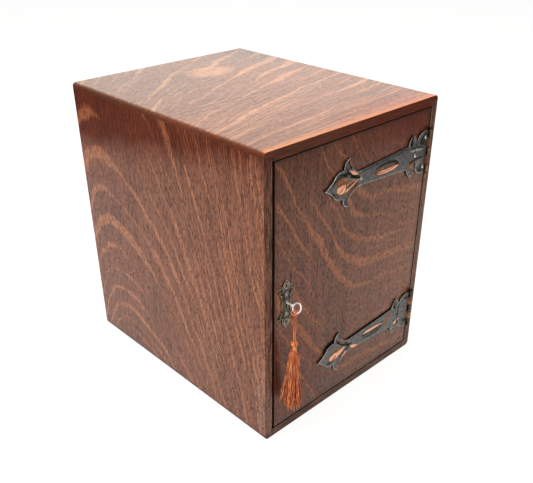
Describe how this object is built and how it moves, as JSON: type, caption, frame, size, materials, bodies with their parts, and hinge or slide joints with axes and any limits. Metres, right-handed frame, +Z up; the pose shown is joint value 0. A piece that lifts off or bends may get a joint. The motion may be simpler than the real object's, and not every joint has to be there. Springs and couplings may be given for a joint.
{
  "type": "tabletop cabinet",
  "caption": "Box-shaped oak tabletop cabinet with a flush door on ornamental copper strap hinges, a cupboard lock with its key, and a silk key tassel.",
  "frame": {"origin": "centre of the case's underside, where it stands", "axes": "+X to the hinge side, -Y out of the door's front, +Z up"},
  "size_m": [0.298, 0.395, 0.38],
  "materials": {
    "oak": "fumed quarter-sawn oak, polished",
    "inner_oak": "oak, thinly finished",
    "patinated_copper": "dark patinated copper, rubbed at the edges",
    "dark_bronze": "dark patinated bronze",
    "brass": "aged brass",
    "steel": "bright steel",
    "silk": "glossy silk thread"
  },
  "bodies": {
    "case": {"left_side": "oak", "right_side": "oak", "top_board": "oak", "bottom_board": "oak", "back_panel": "inner_oak", "back_pins": "steel", "shelf": "inner_oak", "shelf_cleats": "inner_oak", "cleat_screws": "brass", "door_stops": "inner_oak", "strike_plate": "brass", "strike_screws": "brass", "upper_frame_leaf": "patinated_copper", "lower_frame_leaf": "patinated_copper", "frame_leaf_screws": "brass", "upper_hinge_pin": "patinated_copper", "lower_hinge_pin": "patinated_copper"},
    "door": {"door_panel": "oak", "upper_hinge_strap": "patinated_copper", "lower_hinge_strap": "patinated_copper", "upper_strap_nails": "patinated_copper", "lower_strap_nails": "patinated_copper", "escutcheon": "dark_bronze", "escutcheon_pins": "brass", "lock_plate": "brass", "lock_case": "brass", "lock_stud": "brass", "lock_screws": "brass"},
    "bolt": {"lock_bolt": "brass", "bolt_spring": "steel"},
    "key": {"key": "steel"},
    "hitch": {"tassel_hitch": "silk"},
    "tassel": {"tassel_cord": "silk", "tassel_head": "silk", "tassel_skirt": "silk"}
  },
  "joints": [
    {"name": "door_swing", "type": "hinge", "parent": "case", "child": "door", "pos_m": [0.1365, -0.18605, 0.19], "axis": [0, 0, 1], "range_deg": [0, 175]},
    {"name": "key_turn", "type": "hinge", "parent": "door", "child": "key", "pos_m": [-0.116, -0.1825, 0.193], "axis": [0, -1, 0], "range_deg": [0, 80]},
    {"name": "bolt_throw", "type": "slide", "parent": "door", "child": "bolt", "axis": [-1, 0, 0], "range_m": [0, 0.007]},
    {"name": "tassel_hang", "type": "hinge", "parent": "key", "child": "hitch", "pos_m": [-0.11885, -0.2005, 0.18806], "axis": [0, -1, 0], "range_deg": [-80, 0]},
    {"name": "tassel_swing", "type": "hinge", "parent": "hitch", "child": "tassel", "pos_m": [-0.11885, -0.2005, 0.18806], "axis": [-1, 0, 0], "range_deg": [-1.2, 60]}
  ],
  "couplings": [
    {"joint": "bolt_throw", "follows": "key_turn", "m_per_rad": 0.0050134},
    {"joint": "tassel_hang", "follows": "key_turn", "ratio": -1}
  ]
}
